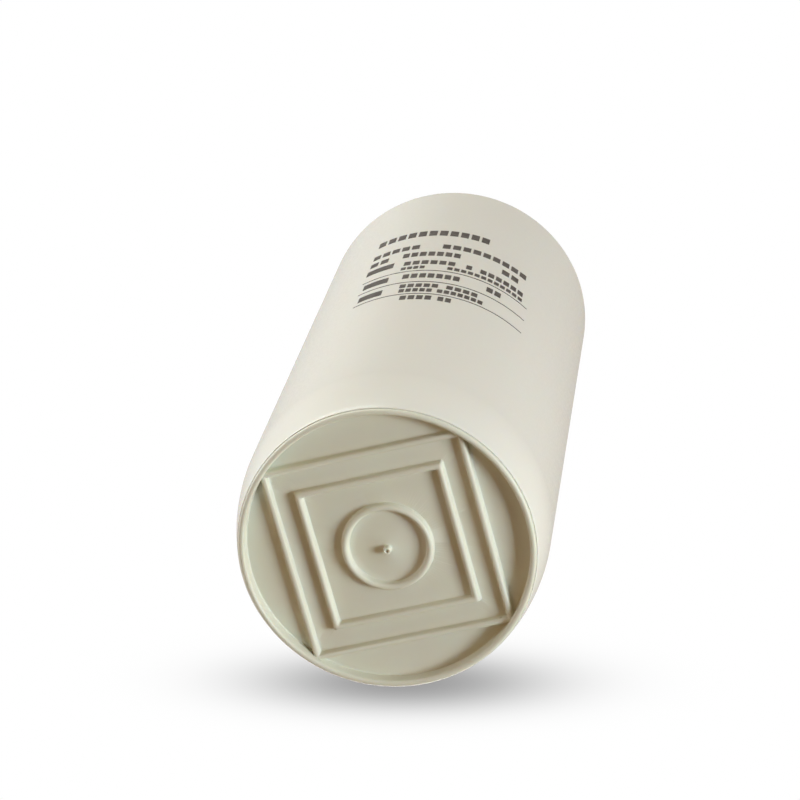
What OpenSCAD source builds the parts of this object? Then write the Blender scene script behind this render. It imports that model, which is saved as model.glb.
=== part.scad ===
// Motor run capacitor: a round plastic case closed by a ribbed base cap and a terminal lid.
// It stands on the rim of the base cap. The origin is the middle of that rim and +Z runs
// along the axis towards the terminals. All sizes are in millimetres.

/* [Case] */
// Outside diameter of the case
case_d = 40; // [38:0.5:55]
// Height from the rim it stands on to the top edge of the case
case_h = 94; // [84:1:120]
// Thickness of the case wall
case_wall = 1.8; // [1.5:0.1:2.4]
// Thickness of the case wall around the cap and the lid, where it is cut back
lip_wall = 1.15; // [0.9:0.05:1.3]
// Height of the gentle taper at the base end
taper_h = 9.5; // [6:0.5:12]
// Thickness of the case's bottom edge, at the foot of the taper
lip_edge = 0.2; // [0.15:0.05:0.4]
// Radius of the rounded edge at the terminal end
top_edge_r = 0.8; // [0.4:0.1:1]
// Gap all round between the case and what is set into its ends
seat_gap = 0.15; // [0.1:0.05:0.25]
// Gap all round between the bore of the case and the plugs of the cap and the lid
plug_gap = 0.1; // [0.05:0.05:0.2]

/* [Base cap] */
// Height that the rim stands out below the case
rim_proud = 0.9; // [0.5:0.1:1.4]
// Thickness of the rim
rim_wall = 0.85; // [0.8:0.05:1.4]
// Rounding on both edges of the rim
rim_round = 0.35; // [0.2:0.05:0.35]
// Depth of the floor inside the rim
floor_depth = 1.8; // [1.6:0.1:2.8]
// Thickness of the floor
floor_t = 1.8; // [1.2:0.1:2.6]
// Height of the plug above the floor
plug_h = 5; // [3:0.5:8]
// Thickness of the plug's wall, on the cap and on the lid
plug_wall = 1.2; // [0.8:0.1:1.6]

/* [Base ribs] */
// Distance from the middle to each of the four long ribs
long_rib_at = 12.7; // [11.8:0.1:13.4]
// Distance from the middle to each side of the square rib
square_rib_at = 9.15; // [7.6:0.05:10]
// Radius of the round rib, at the middle of its width
round_rib_r = 5.35; // [4:0.05:6]
// Width of every rib, which is also the diameter of its rounded top
rib_w = 1; // [0.8:0.05:1.3]
// Depth of the rib tops below the rim
rib_drop = 0.85; // [0.4:0.05:1]
// Turn of the long and square ribs about the axis
rib_turn = -22; // [-45:1:45]
// Diameter of the moulding nub near the middle
nub_d = 1.1; // [0.8:0.1:1.6]
// Distance from the middle to the nub
nub_off = 0.4; // [0:0.1:1]
// Height of the nub above the floor
nub_h = 0.9; // [0.5:0.1:1.2]

/* [Terminal lid] */
// Depth of the lid below the top edge of the case
lid_recess = 1.4; // [0.8:0.1:2]
// Thickness of the lid
lid_t = 2.6; // [2:0.1:3.4]
// Height of the plug below the lid
lid_plug_h = 4; // [3:0.5:6]
// Thickness of the barrier between the terminals
barrier_t = 1.6; // [1.2:0.1:2]
// Width of the barrier
barrier_w = 22; // [14:0.5:26]
// Height of the barrier above the lid
barrier_h = 8; // [5:0.5:10]
// Rounding on the barrier's two top corners
barrier_round = 2; // [1:0.25:3]

/* [Terminals] */
// Distance between the middles of the two terminals
terminal_pitch = 19; // [18:0.1:20]
// Distance between the middles of the two blades of one terminal
blade_pitch = 7.6; // [7.2:0.1:8]
// Width of a blade
blade_w = 6.35; // [6.2:0.05:6.4]
// Thickness of the sheet
blade_t = 0.8; // [0.7:0.05:0.9]
// Height of a blade above the terminal's base plate
blade_h = 8.5; // [7.5:0.1:9.5]
// Bevel on the corners of a blade's tip
blade_bevel = 1.2; // [0.8:0.1:1.6]
// Diameter of the catch hole in a blade
blade_hole_d = 1.8; // [1.6:0.1:2.2]
// Distance from the tip of a blade to the middle of its catch hole
blade_hole_at = 3.4; // [3:0.1:4]

/* [Rivets and lugs] */
// Diameter of a rivet's shank
rivet_d = 2.8; // [2.4:0.1:3.2]
// Diameter of a rivet's head
rivet_head_d = 4.8; // [4.4:0.1:5.2]
// Thickness of a rivet's head
rivet_head_t = 0.8; // [0.6:0.1:1]
// Gap all round between a rivet and its holes
rivet_gap = 0.1; // [0.05:0.05:0.15]
// Diameter of a solder lug's round end
lug_d = 6.4; // [6:0.1:7]
// Thickness of a solder lug
lug_t = 0.6; // [0.5:0.1:0.8]
// Width of a solder lug's tail
tail_w = 3; // [2.6:0.1:3.4]
// Distance from a rivet to the lead on the right lug
tail_l = 7; // [6:0.1:8]

/* [Leads] */
// Diameter of the wire
wire_d = 1; // [0.8:0.1:1.2]
// Thickness of the insulation
insulation_t = 0.5; // [0.4:0.1:0.7]
// Radius of the long lead's bend, at the middle of the wire
bend_r = 1.4; // [1.3:0.1:1.6]
// Length of the long lead along the lower end of the winding
lead_foot = 9.5; // [8.5:0.5:11]
// Diameter of a solder spot
solder_d = 4; // [3.6:0.1:4.4]
// Height of a solder spot
solder_h = 1; // [0.9:0.05:1]

/* [Capacitor element] */
// Gap all round between the element and the plug of the base cap
element_gap = 0.4; // [0.3:0.05:0.8]
// Thickness of the wrap around the winding
wrap_t = 0.3; // [0.2:0.05:0.5]
// Outside diameter of the tube that the film is wound on
core_d = 8.8; // [8:0.1:10]
// Thickness of that tube's wall
core_wall = 1.6; // [1.2:0.1:1.8]
// Thickness of the zinc on each end of the winding
zinc_t = 0.6; // [0.4:0.1:1]
// Thickness of the spacer below the element
spacer_t = 2.4; // [2:0.1:3.5]
// Thickness of the insulating disc on top of the element
disc_t = 1.1; // [1.05:0.05:1.6]
// Thickness of the resin over the insulating disc
resin_cover = 1.5; // [1:0.1:2.5]
// Gap between the resin and the lid's plug
resin_gap = 0.4; // [0.2:0.1:1]

/* [Printed marking] */
// Distance from the top edge of the case to the middle of the first row
print_drop = 22.5; // [20:0.5:26]
// Module of the print: rows, words and blocks are placed and sized in multiples of it
print_module = 1; // [0.9:0.05:1.1]
// Thickness of the ink
ink_t = 0.03; // [0.02:0.01:0.05]
// Width of the thin rules
rule_w = 0.22; // [0.15:0.01:0.4]
// Distance from the middle of the print to each end of a rule, along the case
rule_half = 12.4; // [11:0.1:13]
// Share of a stroke's pitch that is inked
stroke_share = 0.74; // [0.6:0.02:0.85]

/* [Hidden] */
$fn = 72;

// Radii, from the outside in
case_r = case_d / 2;
seat_r = case_r - lip_wall;
rim_r = seat_r - seat_gap;
rim_in_r = rim_r - rim_wall;
bore_r = case_r - case_wall;
plug_r = bore_r - plug_gap;
plug_in_r = plug_r - plug_wall;
taper_in = lip_wall - lip_edge;
taper_r = (taper_h * taper_h + taper_in * taper_in) / (2 * taper_in);
element_r = plug_in_r - element_gap;
winding_r = element_r - wrap_t;
core_r = core_d / 2;
core_bore_r = core_r - core_wall;
wire_r = wire_d / 2;
insulation_r = wire_r + insulation_t;

// Heights, from the bottom up
taper_top = rim_proud + taper_h;
floor_top = floor_depth + floor_t;
plug_top = floor_top + plug_h;
element_z0 = floor_top + spacer_t;
lid_top = case_h - lid_recess;
lid_under = lid_top - lid_t;
plate_top = lid_top + blade_t;
lug_under = lid_under - lug_t;
lid_plug_z = lid_under - lid_plug_h;
resin_top = lid_plug_z - resin_gap;
disc_top = resin_top - resin_cover;
element_z1 = disc_top - disc_t;
winding_z0 = element_z0 + zinc_t;
winding_z1 = element_z1 - zinc_t;

// Places of the leads
terminal_x = terminal_pitch / 2;
short_lead_x = terminal_x;
short_lead_y = -tail_l;
wire_play = 0.05;
foot_z = element_z0 - wire_r - wire_play;
insulation_z0 = foot_z + bend_r;
insulation_inset = 1;

// Wider than any piece, for cuts that run right through
beyond = case_d;
// Overshoot of a cut past the face it opens
cut = 1;

// Rows of print, in print modules: drop below the first row, height, pitch of the strokes,
// then each word as its [start, end] along the case from the middle of the print
ROWS = [
    [0, 2.4, 1.5, [[-12.2, 4.9]]],
    [6.6, 1.9, 1.45, [[-12.2, -4.8], [-1.8, 11.6]]],
    [10.3, 1.9, 1.3, [[-12.2, -9], [-7.2, 1.4], [7.4, 10.5]]],
    [14.4, 1.7, 1.25, [[-6.6, 1], [2.3, 3.4], [4.4, 11.6]]],
    [16.7, 1.2, 1, [[-6.8, -3.2], [-0.2, 11.6]]],
    [20.7, 1.9, 1.2, [[-6.1, 2.2], [5.9, 8.4]]],
    [25.2, 1.5, 1.15, [[-6, -0.4], [0.5, 5.2]]],
    [27.3, 1.4, 1, [[-5.9, -1.1], [-0.6, 6.1]]],
    [30.6, 1.7, 1.15, [[-5.4, -0.8], [-0.2, 1.9]]]
];
// Small plain blocks to the left of the rows, in print modules: drop, height, start and end
BLOCKS = [[14, 2.2, -12.3, -8.2], [20.8, 2.2, -11.9, -8.2], [26.4, 2.2, -11.9, -8.4]];
// Drops of the three rules, in print modules
RULES = [18.3, 23.5, 28.9];

// A straight rib standing down from the floor, along X, with a rounded top and round ends
module straight_rib(length) {
    body_h = floor_depth - rib_drop - rib_w / 2;
    translate([-length / 2, -rib_w / 2, floor_depth - body_h]) cube([length, rib_w, body_h]);
    translate([-length / 2, 0, floor_depth - body_h]) rotate([0, 90, 0]) cylinder(h = length, d = rib_w);
    for (end = [-1, 1]) translate([end * length / 2, 0, floor_depth - body_h]) {
        cylinder(h = body_h, d = rib_w);
        sphere(d = rib_w);
    }
}

// The round rib, with the same section
module round_rib() {
    body_h = floor_depth - rib_drop - rib_w / 2;
    rotate_extrude() translate([round_rib_r, floor_depth - body_h]) {
        translate([-rib_w / 2, 0]) square([rib_w, body_h]);
        circle(d = rib_w);
    }
}

// A ring between two radii and two heights
module ring(r_out, r_in, z0, z1) {
    translate([0, 0, z0]) difference() {
        cylinder(h = z1 - z0, r = r_out);
        translate([0, 0, -cut]) cylinder(h = z1 - z0 + 2 * cut, r = r_in);
    }
}

// A disc between two heights
module disc(r, z0, z1) {
    translate([0, 0, z0]) cylinder(h = z1 - z0, r = r);
}

// The tubular case: drawn in along an arc at its foot, rounded at its top edge and cut back
// inside both ends for the cap and the lid
module case() {
    color([0.87, 0.85, 0.80]) rotate_extrude() difference() {
        union() {
            translate([0, taper_top]) square([case_r, case_h - top_edge_r - taper_top]);
            intersection() {
                translate([0, rim_proud]) square([case_r, taper_h]);
                translate([case_r - taper_r, taper_top]) circle(r = taper_r, $fn = 360);
            }
            translate([0, case_h - top_edge_r]) square([case_r - top_edge_r, top_edge_r]);
            translate([case_r - top_edge_r, case_h - top_edge_r]) circle(r = top_edge_r);
        }
        translate([-beyond, 0]) square([beyond + bore_r, case_h + cut]);
        translate([0, 0]) square([seat_r, floor_top]);
        translate([0, lid_under]) square([seat_r, case_h + cut - lid_under]);
    }
}

// The base cap: rim, recessed floor with its ribs, and a plug that reaches up into the case
module base_cap() {
    color([0.72, 0.70, 0.62]) {
        rotate_extrude() {
            translate([rim_in_r, rim_round]) square([rim_wall, floor_top - rim_round]);
            translate([rim_in_r + rim_round, 0]) square([rim_wall - 2 * rim_round, rim_round]);
            translate([rim_in_r + rim_round, rim_round]) circle(r = rim_round);
            translate([rim_r - rim_round, rim_round]) circle(r = rim_round);
            translate([0, floor_depth]) square([rim_in_r, floor_t]);
        }
        ring(plug_r, plug_in_r, floor_top - cut, plug_top);
        intersection() {
            rotate([0, 0, rib_turn]) for (side = [0:3]) rotate([0, 0, 90 * side])
                translate([0, long_rib_at, 0]) straight_rib(2 * rim_r);
            disc(rim_in_r + rim_round, 0, floor_top);
        }
        rotate([0, 0, rib_turn]) for (side = [0:3]) rotate([0, 0, 90 * side])
            translate([0, square_rib_at, 0]) straight_rib(2 * square_rib_at);
        round_rib();
        translate([0, nub_off, floor_depth - nub_h]) cylinder(h = nub_h, d = nub_d);
    }
}

// The terminal lid: plate and plug, the barrier between the terminals and the rivet holes
module terminal_lid() {
    color([0.87, 0.85, 0.80]) difference() {
        union() {
            disc(rim_r, lid_under, lid_top);
            ring(plug_r, plug_in_r, lid_plug_z, lid_under + cut);
            translate([barrier_t / 2, 0, lid_top]) rotate([0, -90, 0]) linear_extrude(barrier_t) {
                translate([-cut, -barrier_w / 2]) square([barrier_h + cut - barrier_round, barrier_w]);
                translate([-cut, -barrier_w / 2 + barrier_round])
                    square([barrier_h + cut, barrier_w - 2 * barrier_round]);
                for (side = [-1, 1])
                    translate([barrier_h - barrier_round, side * (barrier_w / 2 - barrier_round)])
                        circle(r = barrier_round);
            }
        }
        for (side = [-1, 1]) translate([side * terminal_x, 0, lid_under - cut])
            cylinder(h = lid_t + 2 * cut, d = rivet_d + 2 * rivet_gap);
    }
}

// The folded outline of a terminal seen from the side: a base plate with two upright blades
module terminal_fold() {
    out_half = (blade_pitch + blade_t) / 2;
    in_half = (blade_pitch - blade_t) / 2;
    tall = blade_t + blade_h;
    difference() {
        union() {
            translate([-out_half, blade_t]) square([2 * out_half, tall - blade_t]);
            translate([-out_half + blade_t, 0]) square([2 * (out_half - blade_t), blade_t]);
            for (side = [-1, 1]) translate([side * (out_half - blade_t), blade_t]) circle(r = blade_t);
        }
        translate([-in_half, blade_t]) square([2 * in_half, tall]);
    }
}

// One double-blade terminal, made from folded sheet
module terminal() {
    tall = blade_t + blade_h;
    half = blade_w / 2;
    difference() {
        intersection() {
            rotate([90, 0, 0]) linear_extrude(blade_w, center = true) terminal_fold();
            rotate([90, 0, 90]) linear_extrude(beyond, center = true)
                polygon([[-half, 0], [half, 0], [half, tall - blade_bevel], [half - blade_bevel, tall],
                         [-half + blade_bevel, tall], [-half, tall - blade_bevel]]);
        }
        translate([0, 0, -cut]) cylinder(h = blade_t + 2 * cut, d = rivet_d + 2 * rivet_gap);
        translate([-beyond / 2, 0, tall - blade_hole_at]) rotate([0, 90, 0])
            cylinder(h = beyond, d = blade_hole_d);
    }
}

module terminal_left() {
    color([0.78, 0.76, 0.71]) translate([-terminal_x, 0, lid_top]) terminal();
}

module terminal_right() {
    color([0.78, 0.76, 0.71]) translate([terminal_x, 0, lid_top]) terminal();
}

// A rivet through a terminal, the lid and a solder lug
module rivet() {
    disc(rivet_d / 2, lug_under - rivet_head_t, plate_top + rivet_head_t);
    disc(rivet_head_d / 2, plate_top, plate_top + rivet_head_t);
    disc(rivet_head_d / 2, lug_under - rivet_head_t, lug_under);
}

module rivet_left() {
    color([0.80, 0.77, 0.70]) translate([-terminal_x, 0, 0]) rivet();
}

module rivet_right() {
    color([0.80, 0.77, 0.70]) translate([terminal_x, 0, 0]) rivet();
}

// A solder lug under the lid, with a tail of the given length along +X
module solder_lug(tail) {
    translate([0, 0, lug_under]) difference() {
        union() {
            cylinder(h = lug_t, d = lug_d);
            translate([0, -tail_w / 2, 0]) cube([tail, tail_w, lug_t]);
            translate([tail, 0, 0]) cylinder(h = lug_t, d = tail_w);
        }
        translate([0, 0, -cut]) cylinder(h = lug_t + 2 * cut, d = rivet_d + 2 * rivet_gap);
        translate([tail, 0, -cut]) cylinder(h = lug_t + 2 * cut, d = wire_d);
    }
}

module solder_lug_left() {
    color([0.78, 0.76, 0.71]) translate([-terminal_x, 0, 0]) solder_lug(terminal_x);
}

module solder_lug_right() {
    color([0.78, 0.76, 0.71]) translate([terminal_x, 0, 0]) rotate([0, 0, -90]) solder_lug(tail_l);
}

// The wire from the left lug, down the middle of the element and out along its lower end
module long_lead() {
    color([0.80, 0.50, 0.32]) {
        disc(wire_r, insulation_z0, lid_under);
        translate([bend_r, 0, insulation_z0]) rotate([90, 0, 0])
            rotate_extrude(angle = 90) translate([-bend_r, 0]) circle(r = wire_r);
        translate([bend_r, 0, foot_z]) rotate([0, 90, 0]) cylinder(h = lead_foot - bend_r, r = wire_r);
    }
}

module long_lead_insulation() {
    color([0.75, 0.16, 0.13])
        ring(insulation_r, wire_r, insulation_z0 + insulation_inset, lug_under - insulation_inset);
}

// The wire from the right lug to the upper end of the winding
module short_lead() {
    color([0.80, 0.50, 0.32]) translate([short_lead_x, short_lead_y, 0]) disc(wire_r, element_z1, lid_under);
}

module short_lead_insulation() {
    color([0.14, 0.14, 0.15]) translate([short_lead_x, short_lead_y, 0])
        ring(insulation_r, wire_r, disc_top, lug_under - insulation_inset);
}

// Solder that joins the long lead to the lower zinc
module solder_spot_lower() {
    color([0.74, 0.74, 0.75]) difference() {
        translate([lead_foot - solder_d / 2, 0, element_z0 - wire_d - solder_h / 2])
            cylinder(h = wire_d + solder_h / 2, d = solder_d);
        long_lead();
    }
}

// Solder that joins the short lead to the upper zinc
module solder_spot_upper() {
    color([0.74, 0.74, 0.75]) translate([short_lead_x, short_lead_y, 0])
        ring(solder_d / 2, wire_r, element_z1, element_z1 + solder_h);
}

// The roll of metallised film, all its turns as one solid
module winding() {
    color([0.80, 0.81, 0.83]) ring(winding_r, core_r, winding_z0, winding_z1);
}

module winding_core() {
    color([0.93, 0.93, 0.91]) ring(core_r, core_bore_r, element_z0, element_z1);
}

module zinc_end_lower() {
    color([0.62, 0.63, 0.65]) ring(winding_r, core_r, element_z0, winding_z0);
}

module zinc_end_upper() {
    color([0.62, 0.63, 0.65]) ring(winding_r, core_r, winding_z1, element_z1);
}

module element_wrap() {
    color([0.95, 0.93, 0.80]) ring(element_r, winding_r, element_z0, element_z1);
}

// The disc that carries the element, with a slot for the long lead and a pocket for its solder
module lower_spacer() {
    slot_w = wire_d + 2 * seat_gap;
    slot_h = wire_d + solder_h / 2 + seat_gap;
    color([0.86, 0.80, 0.66]) difference() {
        disc(plug_in_r, floor_top, element_z0);
        translate([0, -slot_w / 2, element_z0 - slot_h]) cube([lead_foot, slot_w, slot_h + cut]);
        disc_cut(0, 0, slot_w / 2, slot_h);
        disc_cut(lead_foot - solder_d / 2, 0, solder_d / 2 + seat_gap, slot_h);
    }
}

// A round pocket in the top of the spacer
module disc_cut(x, y, r, depth) {
    translate([x, y, element_z0 - depth]) cylinder(h = depth + cut, r = r);
}

// The disc on top of the element, open for the long lead and for the upper solder spot
module upper_insulating_disc() {
    color([0.86, 0.80, 0.66]) difference() {
        disc(element_r, element_z1, disc_top);
        disc(insulation_r, element_z1 - cut, disc_top + cut);
        translate([short_lead_x, short_lead_y, 0])
            disc(solder_d / 2 + seat_gap, element_z1 - cut, disc_top + cut);
    }
}

// Cast resin: around the element, and over the insulating disc
module resin_fill() {
    color([0.30, 0.29, 0.27]) {
        ring(plug_in_r, element_r, element_z0, plug_top);
        ring(bore_r, element_r, plug_top, disc_top);
        difference() {
            disc(bore_r, disc_top, resin_top);
            disc(insulation_r, disc_top - cut, resin_top + cut);
            translate([short_lead_x, short_lead_y, 0])
                disc(insulation_r, disc_top - cut, resin_top + cut);
        }
    }
}

// A patch of ink on the case: from and to are distances along the case from the middle of the
// print, drop is how far its middle lies below the first row
module ink(from, to, drop, height) {
    turn = 180 / (PI * case_r);
    rotate([0, 0, -90 + from * turn]) rotate_extrude(angle = (to - from) * turn)
        translate([case_r, case_h - print_drop - drop - height / 2]) square([ink_t, height]);
}

// Plain printing: rows of strokes, a few plain blocks and three thin rules
module printed_marking() {
    color([0.33, 0.30, 0.27]) {
        for (row = ROWS) for (word = row[3]) {
            count = round((word[1] - word[0]) / row[2]);
            step = (word[1] - word[0]) / count;
            for (i = [0:count - 1])
                ink(print_module * (word[0] + i * step), print_module * (word[0] + (i + stroke_share) * step),
                    print_module * row[0], print_module * row[1]);
        }
        for (block = BLOCKS)
            ink(print_module * block[2], print_module * block[3],
                print_module * block[0], print_module * block[1]);
        for (drop = RULES) ink(-rule_half, rule_half, print_module * drop, rule_w);
    }
}

case();
base_cap();
terminal_lid();
terminal_left();
terminal_right();
rivet_left();
rivet_right();
solder_lug_left();
solder_lug_right();
long_lead();
long_lead_insulation();
short_lead();
short_lead_insulation();
solder_spot_lower();
solder_spot_upper();
winding();
winding_core();
zinc_end_lower();
zinc_end_upper();
element_wrap();
lower_spacer();
upper_insulating_disc();
resin_fill();
printed_marking();
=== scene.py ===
"""Looks of a motor run capacitor: a glossy ivory case, a ribbed base cap, a terminal lid with
its blades and rivets, and the pieces sealed inside. Shapes are drawn in millimetres."""
import math

import bmesh
import bpy
from mathutils import Matrix, Vector


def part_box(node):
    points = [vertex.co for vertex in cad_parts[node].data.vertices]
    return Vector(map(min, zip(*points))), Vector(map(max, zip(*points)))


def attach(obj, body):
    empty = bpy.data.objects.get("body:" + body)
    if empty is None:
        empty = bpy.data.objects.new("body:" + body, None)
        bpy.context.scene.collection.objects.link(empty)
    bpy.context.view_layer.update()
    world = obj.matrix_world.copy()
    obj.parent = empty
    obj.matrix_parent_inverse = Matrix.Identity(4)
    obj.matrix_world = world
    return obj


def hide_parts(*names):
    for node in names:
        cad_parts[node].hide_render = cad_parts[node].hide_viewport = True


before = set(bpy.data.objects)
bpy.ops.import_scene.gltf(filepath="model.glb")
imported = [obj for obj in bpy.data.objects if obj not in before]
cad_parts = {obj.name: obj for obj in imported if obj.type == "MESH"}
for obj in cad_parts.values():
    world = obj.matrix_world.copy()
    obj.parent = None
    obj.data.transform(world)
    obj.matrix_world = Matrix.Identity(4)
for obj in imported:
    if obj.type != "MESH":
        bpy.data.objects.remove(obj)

MM = 0.001
SCENE = bpy.context.scene
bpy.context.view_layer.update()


def reach(node):
    """Lowest and highest corner of a frame node, in millimetres."""
    low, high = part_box(node)
    return low / MM, high / MM


# ---------------------------------------------------------------- driving sizes, millimetres
case_low, case_high = reach("case")
cap_low, cap_high = reach("base_cap")
lid_low, lid_high = reach("terminal_lid")
blade_low, blade_high = reach("terminal_right")
rivet_low, rivet_high = reach("rivet_right")

case_r = case_high.x
case_top = case_high.z
cap_r = cap_high.x
cap_top = cap_high.z
seat_gap = 0.15
plug_gap = 0.1
case_wall = 1.8
bore_r = case_r - case_wall
seat_r = cap_r + seat_gap
plug_r = bore_r - plug_gap
plug_wall = 1.2

floor_z = 1.8
floor_back = 3.6
rim_wall = 0.8
rim_round = 0.39
floor_fillet = 0.14
rib_height = 0.95
rib_half_foot = 0.47
rib_half_crest = 0.4
rib_flare = 0.16
rib_sunk = 0.012
rib_root = 0.4
mitre_round = 0.28
rib_turn = -22.0
long_rib_at = 12.7
long_rib_half = 13.0
square_rib_at = 9.15
round_rib_r = 5.35
nub_off = 0.4

taper_h = 9.9
lip_edge = 0.14
lip_reach = 0.4
lip_gap = 0.01
lip_bevel = 0.04
lip_tip_h = 0.12
seat_h = 0.5
wall_rings = (20, 40, 60, 80, 90)
top_edge_r = 0.8
lid_recess = 1.4
lid_thick = 2.6
barrier_half_t = 0.8
barrier_half_w = 11.0
barrier_round = 2.0

blade_t = 0.8
blade_pitch = 7.6
blade_tip_bevel = 1.2
blade_hole_r = 0.9
blade_hole_drop = 3.4
fold_out_r = 1.05
fold_in_r = 0.25
rivet_r = 1.4
rivet_gap = 0.1
rivet_head_t = 0.8


# ---------------------------------------------------------------- camera
def aim(obj, target, roll=0.0):
    """Points an object's -Z at a place in metres, then rolls it about that line."""
    facing = (Vector(target) - obj.location).to_track_quat("-Z", "Y").to_matrix()
    obj.rotation_euler = (facing @ Matrix.Rotation(math.radians(roll), 3, "Z")).to_euler()


def direction(azimuth, elevation):
    """The unit vector at an azimuth from +X and an elevation above the horizon, in degrees."""
    a, e = math.radians(azimuth), math.radians(elevation)
    return Vector((math.cos(e) * math.cos(a), math.cos(e) * math.sin(a), math.sin(e)))


camera_target = Vector((-4.24, -0.78, 51.17)) * MM
camera_distance = 388.16 * MM
camera_azimuth = -79.53
camera_elevation = -68.97
camera_roll = 18.4
camera = bpy.data.objects.new("camera", bpy.data.cameras.new("camera"))
camera.data.sensor_width = 36.0
camera.data.lens = 123.34
camera.data.clip_start = 0.01
camera.data.clip_end = 20.0
camera.location = camera_target + camera_distance * direction(camera_azimuth, camera_elevation)
aim(camera, camera_target, roll=camera_roll)
SCENE.collection.objects.link(camera)
SCENE.camera = camera
SCENE.view_settings.view_transform = "Standard"


# ---------------------------------------------------------------- mesh tools
def arc(x, y, radius, start, end, count):
    """Points on an arc about (x, y), from start to end in degrees."""
    turns = [math.radians(start + (end - start) * i / count) for i in range(count + 1)]
    return [(x + radius * math.cos(t), y + radius * math.sin(t)) for t in turns]


def rounded(*corners, step=11.0):
    """An outline through (x, y) or (x, y, rounding) corners, each rounding as an arc."""
    points = []
    for i, corner in enumerate(corners):
        here = Vector(corner[:2])
        if len(corner) < 3:
            points.append(tuple(here))
            continue
        back = (Vector(corners[i - 1][:2]) - here).normalized()
        ahead = (Vector(corners[(i + 1) % len(corners)][:2]) - here).normalized()
        half = back.angle(ahead) / 2
        centre = here + (back + ahead).normalized() * corner[2] / math.sin(half)
        start = here + back * corner[2] / math.tan(half) - centre
        end = here + ahead * corner[2] / math.tan(half) - centre
        first = math.degrees(math.atan2(start.y, start.x))
        sweep = (math.degrees(math.atan2(end.y, end.x)) - first + 180) % 360 - 180
        count = max(2, math.ceil(abs(sweep) / step))
        points += arc(centre.x, centre.y, corner[2], first, first + sweep, count)
    return points


def lathe(bm, outline, steps=256, start=0.0, closed=True):
    """Spins an outline of (radius, height) points about Z."""
    old = set(bm.verts)
    turn = Matrix.Rotation(math.radians(start), 3, "Z")
    line = [bm.verts.new(turn @ Vector((r, 0, z))) for r, z in outline]
    pairs = list(zip(line, line[1:]))
    if closed:
        pairs.append((line[-1], line[0]))
    edges = [bm.edges.new(pair) for pair in pairs]
    bmesh.ops.spin(bm, geom=line + edges, axis=(0, 0, 1), angle=math.tau, steps=steps, use_merge=True)
    new = [v for v in bm.verts if v not in old]
    bmesh.ops.remove_doubles(bm, verts=new, dist=1e-4)


def prism(bm, outline, length):
    """Stretches an outline of (y, z) points along X, centred."""
    ring = [bm.verts.new((-length / 2, y, z)) for y, z in outline]
    out = bmesh.ops.extrude_face_region(bm, geom=[bm.faces.new(ring)])
    face = next(g for g in out["geom"] if isinstance(g, bmesh.types.BMFace))
    bmesh.ops.translate(bm, vec=(length, 0, 0), verts=face.verts)


def mesh_object(name, bm):
    """Turns a mesh in millimetres into an object in metres, at the origin."""
    bmesh.ops.remove_doubles(bm, verts=bm.verts, dist=1e-5)
    bmesh.ops.recalc_face_normals(bm, faces=bm.faces)
    bmesh.ops.scale(bm, vec=(MM, MM, MM), verts=bm.verts)
    mesh = bpy.data.meshes.new(name)
    bm.to_mesh(mesh)
    bm.free()
    obj = bpy.data.objects.new(name, mesh)
    SCENE.collection.objects.link(obj)
    return obj


def settle(obj):
    """Applies an object's modifiers to its mesh."""
    bpy.context.view_layer.update()
    shaped = obj.evaluated_get(bpy.context.evaluated_depsgraph_get())
    mesh = bpy.data.meshes.new_from_object(shaped)
    obj.modifiers.clear()
    old = obj.data
    obj.data = mesh
    bpy.data.meshes.remove(old)


def combine(obj, operation, *tools):
    """Joins solids to an object, or cuts them from it, and removes the tools."""
    for tool in tools:
        step = obj.modifiers.new("combine", "BOOLEAN")
        step.operation = operation
        step.solver = "EXACT"
        step.object = tool
        settle(obj)
        bpy.data.objects.remove(tool)


def soften(obj, width, segments=2, angle=30.0):
    """Rounds an object's sharp edges."""
    step = obj.modifiers.new("soften", "BEVEL")
    step.width = width * MM
    step.segments = segments
    step.limit_method = "ANGLE"
    step.angle_limit = math.radians(angle)
    settle(obj)


def piece(obj, finish, slot, *nodes, crease=35.0):
    """Shades an object smoothly, gives it its finish and puts it in place of frame nodes."""
    mesh = obj.data
    mesh.shade_smooth()
    mesh.set_sharp_from_angle(angle=math.radians(crease))
    level = obj.modifiers.new("level", "WEIGHTED_NORMAL")
    level.keep_sharp = True
    settle(obj)
    obj.data.materials.clear()
    obj.data.materials.append(finish)
    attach(obj, "root")
    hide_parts(*nodes)


# ---------------------------------------------------------------- finishes
def add(tree, kind, values=None, **settings):
    """Adds a node. A value that is a socket is linked, and any other is set."""
    made = tree.nodes.new(kind)
    for name, value in settings.items():
        setattr(made, name, value)
    for name, value in (values or {}).items():
        if isinstance(value, bpy.types.NodeSocket):
            tree.links.new(value, made.inputs[name])
        else:
            made.inputs[name].default_value = value
    return made


def effect(name, inputs, outputs):
    """A node group with named inputs and outputs, and its input and output nodes."""
    tree = bpy.data.node_groups.new(name, "ShaderNodeTree")
    for title, kind, value in inputs:
        tree.interface.new_socket(title, in_out="INPUT", socket_type=kind).default_value = value
    for title, kind in outputs:
        tree.interface.new_socket(title, in_out="OUTPUT", socket_type=kind)
    return tree, tree.nodes.new("NodeGroupInput").outputs, tree.nodes.new("NodeGroupOutput").inputs


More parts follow.
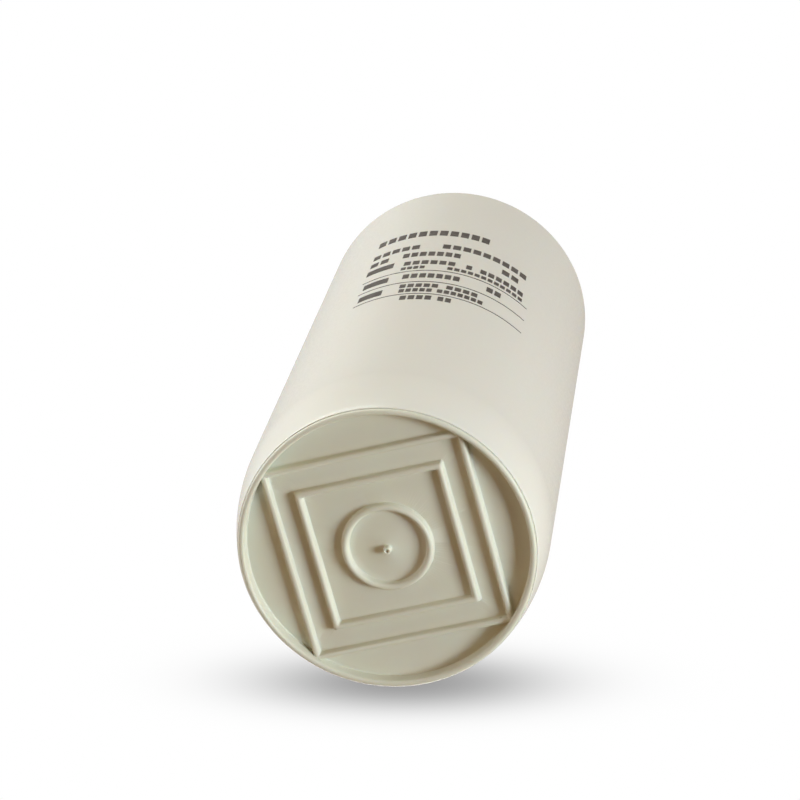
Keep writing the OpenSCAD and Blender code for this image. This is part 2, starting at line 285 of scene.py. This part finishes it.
def tone_drift():
    """A slow drift of a colour towards another one."""
    tree, given, result = effect(
        "tone_drift",
        [("Color", "NodeSocketColor", (0.8, 0.8, 0.8, 1)),
         ("Drift", "NodeSocketColor", (0.7, 0.7, 0.6, 1)),
         ("Scale", "NodeSocketFloat", 100.0),
         ("Share", "NodeSocketFloat", 0.5)],
        [("Color", "NodeSocketColor"), ("Mask", "NodeSocketFloat")])
    place = add(tree, "ShaderNodeTexCoord").outputs["Object"]
    cloud = add(tree, "ShaderNodeTexNoise",
                {"Vector": place, "Scale": given["Scale"], "Detail": 3.0, "Roughness": 0.5})
    spread = add(tree, "ShaderNodeMapRange",
                 {"Value": cloud.outputs["Fac"], "From Min": 0.3, "From Max": 0.7},
                 interpolation_type="SMOOTHSTEP")
    share = add(tree, "ShaderNodeMath",
                {0: spread.outputs["Result"], 1: given["Share"]}, operation="MULTIPLY")
    mixed = add(tree, "ShaderNodeMix",
                {"Factor": share.outputs[0], "A": given["Color"], "B": given["Drift"]}, data_type="RGBA")
    tree.links.new(mixed.outputs["Result"], result["Color"])
    tree.links.new(spread.outputs["Result"], result["Mask"])
    return tree


def skin_relief():
    """The relief of a moulded or drawn skin: slow waves and fine grain, in metres."""
    tree, given, result = effect(
        "skin_relief",
        [("Wave Scale", "NodeSocketFloat", 120.0), ("Wave Depth", "NodeSocketFloat", 0.000004),
         ("Grain Scale", "NodeSocketFloat", 3000.0), ("Grain Depth", "NodeSocketFloat", 0.0000005),
         ("Stretch", "NodeSocketVector", (1, 1, 1))],
        [("Height", "NodeSocketFloat"), ("Grain", "NodeSocketFloat")])
    place = add(tree, "ShaderNodeTexCoord").outputs["Object"]
    stretched = add(tree, "ShaderNodeVectorMath", {0: place, 1: given["Stretch"]}, operation="MULTIPLY")
    wave = add(tree, "ShaderNodeTexNoise",
               {"Vector": stretched.outputs[0], "Scale": given["Wave Scale"], "Detail": 1.0})
    grain = add(tree, "ShaderNodeTexNoise",
                {"Vector": stretched.outputs[0], "Scale": given["Grain Scale"], "Detail": 2.0})
    slow = add(tree, "ShaderNodeMath",
               {0: wave.outputs["Fac"], 1: given["Wave Depth"]}, operation="MULTIPLY")
    fine = add(tree, "ShaderNodeMath",
               {0: grain.outputs["Fac"], 1: given["Grain Depth"], 2: slow.outputs[0]},
               operation="MULTIPLY_ADD")
    tree.links.new(fine.outputs[0], result["Height"])
    tree.links.new(grain.outputs["Fac"], result["Grain"])
    return tree


def stray_specks():
    """A mask of small dark inclusions, a few of them scattered at random."""
    tree, given, result = effect(
        "stray_specks",
        [("Scale", "NodeSocketFloat", 300.0),
         ("Size", "NodeSocketFloat", 0.1),
         ("Share", "NodeSocketFloat", 0.1)],
        [("Mask", "NodeSocketFloat")])
    place = add(tree, "ShaderNodeTexCoord").outputs["Object"]
    cells = add(tree, "ShaderNodeTexVoronoi", {"Vector": place, "Scale": given["Scale"]})
    spot = add(tree, "ShaderNodeMapRange",
               {"Value": cells.outputs["Distance"], "From Min": given["Size"], "From Max": 0.02},
               interpolation_type="SMOOTHSTEP")
    pick = add(tree, "ShaderNodeSeparateColor", {"Color": cells.outputs["Color"]})
    chosen = add(tree, "ShaderNodeMath",
                 {0: pick.outputs["Red"], 1: given["Share"]}, operation="LESS_THAN")
    mask = add(tree, "ShaderNodeMath",
               {0: spot.outputs["Result"], 1: chosen.outputs[0]}, operation="MULTIPLY")
    tree.links.new(mask.outputs[0], result["Mask"])
    return tree


TONE_DRIFT, SKIN_RELIEF, STRAY_SPECKS = tone_drift(), skin_relief(), stray_specks()


def place_effect(tree, group, **values):
    """Places an effect in a material, with its inputs named as words joined by underscores."""
    made = tree.nodes.new("ShaderNodeGroup")
    made.node_tree = group
    for name, value in values.items():
        made.inputs[name.replace("_", " ")].default_value = value
    return made


def blank(name):
    """A new material, its node tree and its shader."""
    material = bpy.data.materials.new(name)
    material.use_nodes = True
    return material, material.node_tree, material.node_tree.nodes["Principled BSDF"]


def rough(tree, shader, mask, low, high):
    """Spreads a shader's roughness between two values by a mask."""
    spread = add(tree, "ShaderNodeMapRange", {"Value": mask, "From Min": 0.25, "From Max": 0.75,
                                              "To Min": low, "To Max": high})
    tree.links.new(spread.outputs["Result"], shader.inputs["Roughness"])


def emboss(tree, shader, height):
    """Feeds a relief in metres to a shader's normal."""
    bump = add(tree, "ShaderNodeBump", {"Strength": 1.0, "Distance": 1.0, "Height": height})
    tree.links.new(bump.outputs["Normal"], shader.inputs["Normal"])


def colour(r, g, b):
    """An opaque colour."""
    return (r, g, b, 1.0)


SPECK_BROWN = colour(0.22, 0.19, 0.13)


def plastic(name, base, drift, share, drift_scale, roughness, wave, grain, glow=0.0, specks=0.0):
    """Moulded plastic: drifting tone, waves and grain, and a little light that sinks in."""
    material, tree, shader = blank(name)
    tone = place_effect(tree, TONE_DRIFT, Color=base, Drift=drift, Scale=drift_scale, Share=share)
    relief = place_effect(tree, SKIN_RELIEF, Wave_Depth=wave, Grain_Depth=grain,
                          Wave_Scale=90.0, Grain_Scale=2600.0)
    body = tone.outputs["Color"]
    if specks:
        spots = place_effect(tree, STRAY_SPECKS, Scale=330.0, Size=0.1, Share=specks)
        fade = add(tree, "ShaderNodeMath", {0: spots.outputs["Mask"], 1: 0.45}, operation="MULTIPLY")
        body = add(tree, "ShaderNodeMix",
                   {"Factor": fade.outputs[0], "A": body, "B": SPECK_BROWN},
                   data_type="RGBA").outputs["Result"]
    tree.links.new(body, shader.inputs["Base Color"])
    rough(tree, shader, relief.outputs["Grain"], roughness - 0.03, roughness + 0.04)
    emboss(tree, shader, relief.outputs["Height"])
    shader.inputs["IOR"].default_value = 1.5
    shader.inputs["Subsurface Weight"].default_value = glow
    shader.inputs["Subsurface Radius"].default_value = (1.0, 0.55, 0.28)
    shader.inputs["Subsurface Scale"].default_value = 0.5 * MM
    return material


def metal(name, base, drift, roughness, stretch=(1, 1, 1), grain=0.0000006, scale=900.0):
    """Plated or drawn metal with fine lines along its stretch."""
    material, tree, shader = blank(name)
    tone = place_effect(tree, TONE_DRIFT, Color=base, Drift=drift, Scale=260.0, Share=0.7)
    relief = place_effect(tree, SKIN_RELIEF, Wave_Depth=0.000001, Grain_Depth=grain,
                          Grain_Scale=scale, Stretch=stretch)
    tree.links.new(tone.outputs["Color"], shader.inputs["Base Color"])
    rough(tree, shader, relief.outputs["Grain"], roughness - 0.06, roughness + 0.1)
    emboss(tree, shader, relief.outputs["Height"])
    shader.inputs["Metallic"].default_value = 1.0
    return material


def fibre(name, base, drift, roughness, stretch=(1, 1, 1), grain=0.000004):
    """Board, film or resin: mottled, dull and finely grained."""
    material, tree, shader = blank(name)
    tone = place_effect(tree, TONE_DRIFT, Color=base, Drift=drift, Scale=500.0, Share=0.8)
    relief = place_effect(tree, SKIN_RELIEF, Wave_Depth=0.000003, Grain_Depth=grain,
                          Grain_Scale=1500.0, Stretch=stretch)
    tree.links.new(tone.outputs["Color"], shader.inputs["Base Color"])
    rough(tree, shader, relief.outputs["Grain"], roughness - 0.08, roughness + 0.08)
    emboss(tree, shader, relief.outputs["Height"])
    return material


IVORY = plastic("ivory_case", colour(0.79, 0.775, 0.69), colour(0.80, 0.765, 0.68), 0.5, 60.0,
                roughness=0.21, wave=0.000004, grain=0.0000001, glow=0.15)
CAP = plastic("beige_cap", colour(0.712, 0.718, 0.592), colour(0.698, 0.682, 0.57), 0.6, 190.0,
              roughness=0.42, wave=0.000004, grain=0.0000006, glow=0.12, specks=0.012)
TINNED = metal("tinned_brass", colour(0.80, 0.785, 0.75), colour(0.72, 0.70, 0.65), 0.27,
               stretch=(1, 4, 0.15))
NICKEL = metal("nickel_rivet", colour(0.74, 0.71, 0.66), colour(0.66, 0.62, 0.55), 0.3)
COPPER = metal("copper_wire", colour(0.80, 0.44, 0.27), colour(0.64, 0.32, 0.19), 0.32,
               stretch=(4, 4, 0.2))
SOLDER = metal("solder", colour(0.70, 0.70, 0.71), colour(0.56, 0.56, 0.58), 0.38,
               grain=0.000002)
ZINC = metal("sprayed_zinc", colour(0.48, 0.49, 0.51), colour(0.36, 0.37, 0.39), 0.62,
             grain=0.00001, scale=2200.0)
FILM = metal("metallised_film", colour(0.74, 0.75, 0.77), colour(0.64, 0.65, 0.68), 0.3,
             stretch=(0.2, 0.2, 6))
RED = fibre("red_insulation", colour(0.55, 0.045, 0.03), colour(0.42, 0.03, 0.02), 0.42,
            grain=0.000001)
BLACK = fibre("black_insulation", colour(0.018, 0.018, 0.02), colour(0.03, 0.03, 0.032), 0.45,
              grain=0.000001)
CORE = fibre("core_plastic", colour(0.83, 0.83, 0.80), colour(0.76, 0.76, 0.72), 0.45)
WRAP = fibre("wrap_film", colour(0.88, 0.84, 0.62), colour(0.80, 0.75, 0.54), 0.3,
             stretch=(1, 1, 8), grain=0.000001)
BOARD = fibre("pressboard", colour(0.70, 0.58, 0.38), colour(0.58, 0.46, 0.28), 0.72,
              stretch=(1, 1, 5))
RESIN = fibre("cast_resin", colour(0.075, 0.068, 0.06), colour(0.05, 0.045, 0.04), 0.3,
              grain=0.000001)
INK = fibre("ink", colour(0.062, 0.053, 0.043), colour(0.115, 0.102, 0.087), 0.45,
            grain=0.000002)


# ---------------------------------------------------------------- case
def case_shell():
    """The tubular case: tapered at its foot, rounded at its top edge, cut back inside both ends."""
    foot_z = case_low.z - lip_reach
    taper_top = foot_z + taper_h
    taper_in = case_r - cap_r - lip_edge
    taper_r = (taper_h ** 2 + taper_in ** 2) / (2 * taper_in)
    first_z = foot_z + lip_tip_h
    start = -math.degrees(math.asin((taper_top - first_z) / taper_r))
    seat_top = case_top - lid_recess - lid_thick
    snug_r = cap_r + lip_gap
    outline = [(snug_r, foot_z + 0.3), (snug_r, foot_z + lip_bevel), (snug_r + 0.03, foot_z),
               (snug_r + 0.08, foot_z), (snug_r + 0.12, foot_z + lip_bevel)]
    outline += arc(case_r - taper_r, taper_top, taper_r, start, 0, 16)
    outline += [(case_r, z) for z in wall_rings]
    outline += rounded((case_r, case_top - 3), (case_r, case_top, top_edge_r), (seat_r, case_top, 0.2),
                       (seat_r, seat_top), (bore_r, seat_top), (bore_r, floor_back), (seat_r, floor_back),
                       (seat_r, foot_z + seat_h))
    bm = bmesh.new()
    lathe(bm, outline)
    piece(mesh_object("case_shell", bm), IVORY, "case_plastic", "case")


# ---------------------------------------------------------------- base cap
def rib_section(offset=0.0):
    """The outline of a rib across its run: flared feet, a little draft and a round crest."""
    foot = rib_half_foot + rib_flare
    right = arc(foot, floor_z + rib_sunk - rib_flare, rib_flare, 90, 180, 5)
    crest_z = floor_z - rib_height + rib_half_crest
    crest = arc(0, crest_z, rib_half_crest, 0, -180, 12)
    left = [(-x, z) for x, z in reversed(right)]
    buried = [(-foot, floor_z + rib_root), (foot, floor_z + rib_root)]
    return [(x + offset, z) for x, z in right + crest + left + buried]


def base_cap():
    """Rim, recessed floor, plug and ribs, moulded as one."""
    bm = bmesh.new()
    rim_in = cap_r - rim_wall
    outline = [(0, floor_z), (4, floor_z), (10, floor_z), (16, floor_z)]
    outline += rounded((16.5, floor_z), (rim_in - 0.04, floor_z, floor_fillet),
                       (rim_in + 0.01, 0, rim_round), (cap_r, 0, rim_round),
                       (cap_r, floor_back, 0.1), (plug_r, floor_back),
                       (plug_r, cap_top, 0.4), (plug_r - plug_wall, cap_top, 0.2),
                       (plug_r - plug_wall, floor_back, 0.3))
    outline += [(8, floor_back), (0, floor_back)]
    lathe(bm, outline, closed=False)
    body = mesh_object("base_cap_moulding", bm)

    ribs = []
    for side in range(4):
        bm = bmesh.new()
        prism(bm, rib_section(), 2 * long_rib_half)
        bmesh.ops.translate(bm, vec=(0, long_rib_at, 0), verts=bm.verts)
        turn = Matrix.Rotation(math.radians(rib_turn + 90 * side), 3, "Z")
        bmesh.ops.rotate(bm, matrix=turn, verts=bm.verts)
        ribs.append(mesh_object(f"long_rib_{side}", bm))

    bm = bmesh.new()
    diagonal = [((x + square_rib_at) * math.sqrt(2), z) for x, z in rib_section()]
    lathe(bm, diagonal, steps=4, start=rib_turn + 45)
    mitres = [e for e in bm.edges if abs(e.verts[0].co.angle(e.verts[1].co)) < 0.6
              and abs(e.verts[0].co.xy.angle(e.verts[1].co.xy)) < 0.01]
    bmesh.ops.bevel(bm, geom=mitres, offset=mitre_round, offset_type="OFFSET", segments=3, profile=0.5,
                    affect="EDGES", material=-1)
    ribs.append(mesh_object("square_rib", bm))

    bm = bmesh.new()
    lathe(bm, rib_section(round_rib_r), steps=128)
    ribs.append(mesh_object("round_rib", bm))

    bm = bmesh.new()
    nub = rounded((0.78, floor_z + 0.2), (0.78, floor_z + 0.01), (0.52, floor_z - 0.1, 0.1),
                  (0.47, floor_z - 0.95, 0.14), (0.26, floor_z - 0.93, 0.06), (0.16, floor_z - 0.74, 0.05))
    lathe(bm, nub + [(0, floor_z - 0.72)], steps=48, closed=False)
    lathe_cap = [v for v in bm.verts if abs(v.co.z - floor_z - 0.2) < 1e-4]
    bmesh.ops.contextual_create(bm, geom=lathe_cap)
    bmesh.ops.translate(bm, vec=(0, nub_off, 0), verts=bm.verts)
    ribs.append(mesh_object("nub", bm))

    combine(body, "UNION", *ribs)
    piece(body, CAP, "cap_plastic", "base_cap")


# ---------------------------------------------------------------- terminal lid
def terminal_lid():
    """Plate, plug and the barrier between the terminals, with the two rivet holes."""
    plate_z = case_top - lid_recess
    under = plate_z - lid_thick
    bm = bmesh.new()
    outline = [(0, plate_z), (6, plate_z), (12, plate_z)]
    outline += rounded((17, plate_z), (cap_r, plate_z, 0.3), (cap_r, under, 0.1), (plug_r, under),
                       (plug_r, lid_low.z, 0.4), (plug_r - plug_wall, lid_low.z, 0.2),
                       (plug_r - plug_wall, under, 0.3))
    outline += [(8, under), (0, under)]
    lathe(bm, outline, closed=False)
    body = mesh_object("terminal_lid_moulding", bm)

    top = lid_high.z
    half = barrier_half_w
    bm = bmesh.new()
    side = rounded((-half, plate_z - 0.5), (-half, top, barrier_round), (half, top, barrier_round),
                   (half, plate_z - 0.5))
    prism(bm, side, 2 * barrier_half_t)
    edges = [e for e in bm.edges if abs(e.verts[0].co.x - e.verts[1].co.x) < 1e-6
             and min(v.co.z for v in e.verts) > plate_z - 0.6]
    bmesh.ops.bevel(bm, geom=edges, offset=0.3, offset_type="OFFSET", segments=3, profile=0.5,
                    affect="EDGES", material=-1)
    barrier = mesh_object("barrier", bm)

    bm = bmesh.new()
    run = 2 * (half - 0.2)
    fillet = rounded((-barrier_half_t - 0.5, plate_z + 0.012), (-barrier_half_t, plate_z + 0.012, 0.45),
                     (-barrier_half_t, plate_z + 0.6), (barrier_half_t, plate_z + 0.6),
                     (barrier_half_t, plate_z + 0.012, 0.45), (barrier_half_t + 0.5, plate_z + 0.012),
                     (barrier_half_t + 0.5, plate_z - 0.4), (-barrier_half_t - 0.5, plate_z - 0.4))
    prism(bm, [(y, z - 0.02) for y, z in fillet], run)
    bmesh.ops.rotate(bm, matrix=Matrix.Rotation(math.radians(90), 3, "Z"), verts=bm.verts)
    foot = mesh_object("barrier_foot", bm)
    combine(body, "UNION", barrier, foot)

    holes = []
    for side in (-1, 1):
        bm = bmesh.new()
        bmesh.ops.create_cone(bm, cap_ends=True, segments=48, radius1=rivet_r + rivet_gap,
                              radius2=rivet_r + rivet_gap, depth=3 * lid_thick)
        middle = (blade_low.x + blade_high.x) / 2
        bmesh.ops.translate(bm, vec=(side * middle, 0, plate_z), verts=bm.verts)
        holes.append(mesh_object(f"rivet_hole_{side}", bm))
    combine(body, "DIFFERENCE", *holes)
    piece(body, IVORY, "case_plastic", "terminal_lid")


# ---------------------------------------------------------------- terminals and rivets
def terminal(side, name, node):
    """A double blade terminal, folded from sheet."""
    half_w = (blade_high.y - blade_low.y) / 2
    base_z = blade_low.z
    tip_z = blade_high.z
    out_half = (blade_pitch + blade_t) / 2
    in_half = out_half - blade_t
    middle = side * (blade_low.x + blade_high.x) / 2
    bm = bmesh.new()
    fold = rounded((-out_half, tip_z), (-out_half, base_z, fold_out_r), (out_half, base_z, fold_out_r),
                   (out_half, tip_z), (in_half, tip_z), (in_half, base_z + blade_t, fold_in_r),
                   (-in_half, base_z + blade_t, fold_in_r), (-in_half, tip_z))
    prism(bm, fold, 2 * half_w)
    bmesh.ops.rotate(bm, matrix=Matrix.Rotation(math.radians(90), 3, "Z"), verts=bm.verts)
    corners = [e for e in bm.edges if all(abs(v.co.z - tip_z) < 1e-4 for v in e.verts)
               and abs(e.verts[0].co.y - e.verts[1].co.y) < 1e-4]
    bmesh.ops.bevel(bm, geom=corners, offset=blade_tip_bevel, offset_type="OFFSET", segments=1, profile=0.5,
                    affect="EDGES", material=-1)
    blades = mesh_object(name, bm)

    bm = bmesh.new()
    bmesh.ops.create_cone(bm, cap_ends=True, segments=40, radius1=blade_hole_r,
                          radius2=blade_hole_r, depth=30)
    bmesh.ops.rotate(bm, matrix=Matrix.Rotation(math.radians(90), 3, "Y"), verts=bm.verts)
    bmesh.ops.translate(bm, vec=(0, 0, tip_z - blade_hole_drop), verts=bm.verts)
    catch = mesh_object("catch_hole", bm)
    bm = bmesh.new()
    bmesh.ops.create_cone(bm, cap_ends=True, segments=40, radius1=rivet_r + rivet_gap,
                          radius2=rivet_r + rivet_gap, depth=4)
    bmesh.ops.translate(bm, vec=(0, 0, base_z), verts=bm.verts)
    hole = mesh_object("plate_hole", bm)
    combine(blades, "DIFFERENCE", catch, hole)
    soften(blades, 0.12)
    blades.data.transform(Matrix.Translation((middle * MM, 0, 0)))
    piece(blades, TINNED, "tinned_brass", node)


def rivet(side, name, node):
    """A rivet with a domed head over the terminal and another under the solder lug."""
    head_r = (rivet_high.x - rivet_low.x) / 2
    middle = side * (rivet_low.x + rivet_high.x) / 2
    top, bottom = rivet_high.z, rivet_low.z
    crown = rounded((0, top), (0.9, top - 0.02), (1.7, top - 0.12), (head_r - 0.05, top - 0.42, 0.5),
                    (head_r, top - rivet_head_t, 0.08), (rivet_r, top - rivet_head_t),
                    (rivet_r, bottom + rivet_head_t), (head_r, bottom + rivet_head_t, 0.08),
                    (head_r - 0.05, bottom + 0.42, 0.5), (1.7, bottom + 0.12), (0.9, bottom + 0.02),
                    (0, bottom))
    bm = bmesh.new()
    lathe(bm, crown, steps=64, closed=False)
    bmesh.ops.translate(bm, vec=(middle, 0, 0), verts=bm.verts)
    piece(mesh_object(name, bm), NICKEL, "nickel", node)


case_shell()
base_cap()
terminal_lid()
for side, word in ((-1, "left"), (1, "right")):
    terminal(side, f"terminal_{word}_blades", f"terminal_{word}")
    rivet(side, f"rivet_{word}_domed", f"rivet_{word}")

# ---------------------------------------------------------------- nodes that keep their own shape
KEPT = {
    TINNED: ("solder_lug_left", "solder_lug_right"),
    COPPER: ("long_lead", "short_lead"),
    RED: ("long_lead_insulation",),
    BLACK: ("short_lead_insulation",),
    SOLDER: ("solder_spot_lower", "solder_spot_upper"),
    FILM: ("winding",),
    CORE: ("winding_core",),
    ZINC: ("zinc_end_lower", "zinc_end_upper"),
    WRAP: ("element_wrap",),
    BOARD: ("lower_spacer", "upper_insulating_disc"),
    RESIN: ("resin_fill",),
    INK: ("printed_marking",),
}
for finish, names in KEPT.items():
    for name in names:
        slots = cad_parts[name].data.materials
        slots.clear()
        slots.append(finish)


# ---------------------------------------------------------------- stage
floor_clear = 0.35
floor_end = 1.4
shade_height = 8 * MM
shade_middle = Vector((3.74, 21.45, 8)) * MM
shade_turn = -9.9
shade_half_w = 19.4 * MM
shade_half_d = 4.2 * MM
shade_falloff = 2.4
shade_depth = 0.656


def stage_plane(name, size, height, facing):
    """A flat square of stage at a height in metres, seen only from the side it faces."""
    bm = bmesh.new()
    bmesh.ops.create_grid(bm, x_segments=1, y_segments=1, size=size)
    bmesh.ops.translate(bm, vec=(0, 0, height), verts=bm.verts)
    if facing < 0:
        bmesh.ops.reverse_faces(bm, faces=bm.faces)
    mesh = bpy.data.meshes.new(name)
    bm.to_mesh(mesh)
    bm.free()
    plane = bpy.data.objects.new(name, mesh)
    for ray in ("diffuse", "glossy", "transmission", "volume_scatter", "shadow"):
        setattr(plane, f"visible_{ray}", False)
    SCENE.collection.objects.link(plane)
    return plane


def front_only(tree, factor):
    """A factor that is kept on the front of a face and dropped on its back."""
    back = add(tree, "ShaderNodeNewGeometry").outputs["Backfacing"]
    front = add(tree, "ShaderNodeMath", {0: 1.0, 1: back}, operation="SUBTRACT")
    return add(tree, "ShaderNodeMath", {0: factor, 1: front.outputs[0]}, operation="MULTIPLY").outputs[0]


def pale_floor():
    """The floor under the rim, fading out far away."""
    plane = stage_plane("pale_floor", 1.6, 0.0, 1)
    material, tree, shader = blank("pale_floor")
    place = add(tree, "ShaderNodeTexCoord").outputs["Object"]
    away = add(tree, "ShaderNodeVectorMath", {0: place}, operation="LENGTH")
    fade = add(tree, "ShaderNodeMapRange",
               {"Value": away.outputs["Value"], "From Min": floor_clear, "From Max": floor_end,
                "To Min": 1.0, "To Max": 0.0}, interpolation_type="SMOOTHSTEP")
    tree.links.new(front_only(tree, fade.outputs["Result"]), shader.inputs["Alpha"])
    shader.inputs["Base Color"].default_value = colour(0.86, 0.86, 0.85)
    shader.inputs["Roughness"].default_value = 0.7
    plane.data.materials.append(material)


def soft_shade():
    """The pool of shade behind the lower edge of the base."""
    plane = stage_plane("soft_shade", 0.15, shade_height, -1)
    material, tree, shader = blank("soft_shade")
    place = add(tree, "ShaderNodeTexCoord").outputs["Object"]
    pool = add(tree, "ShaderNodeMapping",
               {"Vector": place, "Location": shade_middle, "Rotation": (0, 0, math.radians(shade_turn)),
                "Scale": (shade_half_w, shade_half_d, 1.0)}, vector_type="TEXTURE")
    out = add(tree, "ShaderNodeVectorMath", {0: pool.outputs[0]}, operation="LENGTH")
    power = add(tree, "ShaderNodeMath", {0: out.outputs["Value"], 1: shade_falloff}, operation="POWER")
    minus = add(tree, "ShaderNodeMath", {0: power.outputs[0], 1: -1.0}, operation="MULTIPLY")
    bell = add(tree, "ShaderNodeMath", {0: minus.outputs[0]}, operation="EXPONENT")
    depth = add(tree, "ShaderNodeMath", {0: bell.outputs[0], 1: shade_depth}, operation="MULTIPLY")
    tree.links.new(front_only(tree, depth.outputs[0]), shader.inputs["Alpha"])
    shader.inputs["Base Color"].default_value = colour(0, 0, 0)
    shader.inputs["Roughness"].default_value = 1.0
    shader.inputs["Specular IOR Level"].default_value = 0.0
    plane.data.materials.append(material)


pale_floor()
soft_shade()


# ---------------------------------------------------------------- light
def softbox(name, azimuth, elevation, distance, size, watts, tint=(1, 1, 1), target=(0, 0, 0.045)):
    """A soft rectangular light, (width, height) in metres, aimed at the can."""
    lamp = bpy.data.lights.new(name, "AREA")
    lamp.shape = "RECTANGLE"
    lamp.size, lamp.size_y = size
    lamp.energy = watts
    lamp.color = tint
    box = bpy.data.objects.new(name, lamp)
    box.location = Vector(target) + distance * direction(azimuth, elevation)
    aim(box, target)
    SCENE.collection.objects.link(box)


softbox("base_key", -16, -29, 0.6, (0.21, 0.21), 3.75, (0.82, 0.9, 0.97), target=(0, 0, 0))
softbox("low_right", 20, -10, 0.6, (0.4, 0.2), 0.75, (1.0, 0.76, 0.38), target=(0, 0, 0))
softbox("low_left", 180, -50, 1.0, (0.8, 0.8), 2.1, (1.0, 0.62, 0.3))
softbox("low_back", 90, -50, 1.0, (0.8, 0.8), 0.65, (1.0, 0.76, 0.6))
softbox("low_front", -90, -20, 0.8, (0.6, 0.4), 0.7, (1.0, 0.74, 0.45), target=(0, 0, 0))
softbox("left", -170, 5, 1.0, (0.8, 0.8), 9.4, (0.77, 0.88, 1.0))
softbox("front_left", -130, 20, 1.0, (0.8, 0.8), 5.1, (0.96, 1.0, 0.94))
softbox("back", 100, 25, 1.0, (0.8, 0.8), 6.0)


def studio_world():
    """White to the eye, and a soft grey room to light: bright above, dark below."""
    world = bpy.data.worlds.new("studio")
    SCENE.world = world
    world.use_nodes = True
    tree = world.node_tree
    tree.nodes.clear()
    ray = add(tree, "ShaderNodeTexCoord").outputs["Generated"]
    height = add(tree, "ShaderNodeSeparateXYZ", {"Vector": ray}).outputs["Z"]
    blend = add(tree, "ShaderNodeMapRange", {"Value": height, "From Min": -0.12, "From Max": 0.12})
    room = add(tree, "ShaderNodeMix", {"Factor": blend.outputs["Result"], "A": colour(0, 0, 0),
                                       "B": colour(0.41, 0.365, 0.34)}, data_type="RGBA")
    unseen = add(tree, "ShaderNodeBackground", {"Color": room.outputs["Result"], "Strength": 1.0})
    seen = add(tree, "ShaderNodeBackground", {"Color": colour(1, 1, 1), "Strength": 1.0})
    eye = add(tree, "ShaderNodeLightPath").outputs["Is Camera Ray"]
    mix = add(tree, "ShaderNodeMixShader", {0: eye, 1: unseen.outputs[0], 2: seen.outputs[0]})
    tree.links.new(mix.outputs[0], add(tree, "ShaderNodeOutputWorld").inputs["Surface"])


studio_world()
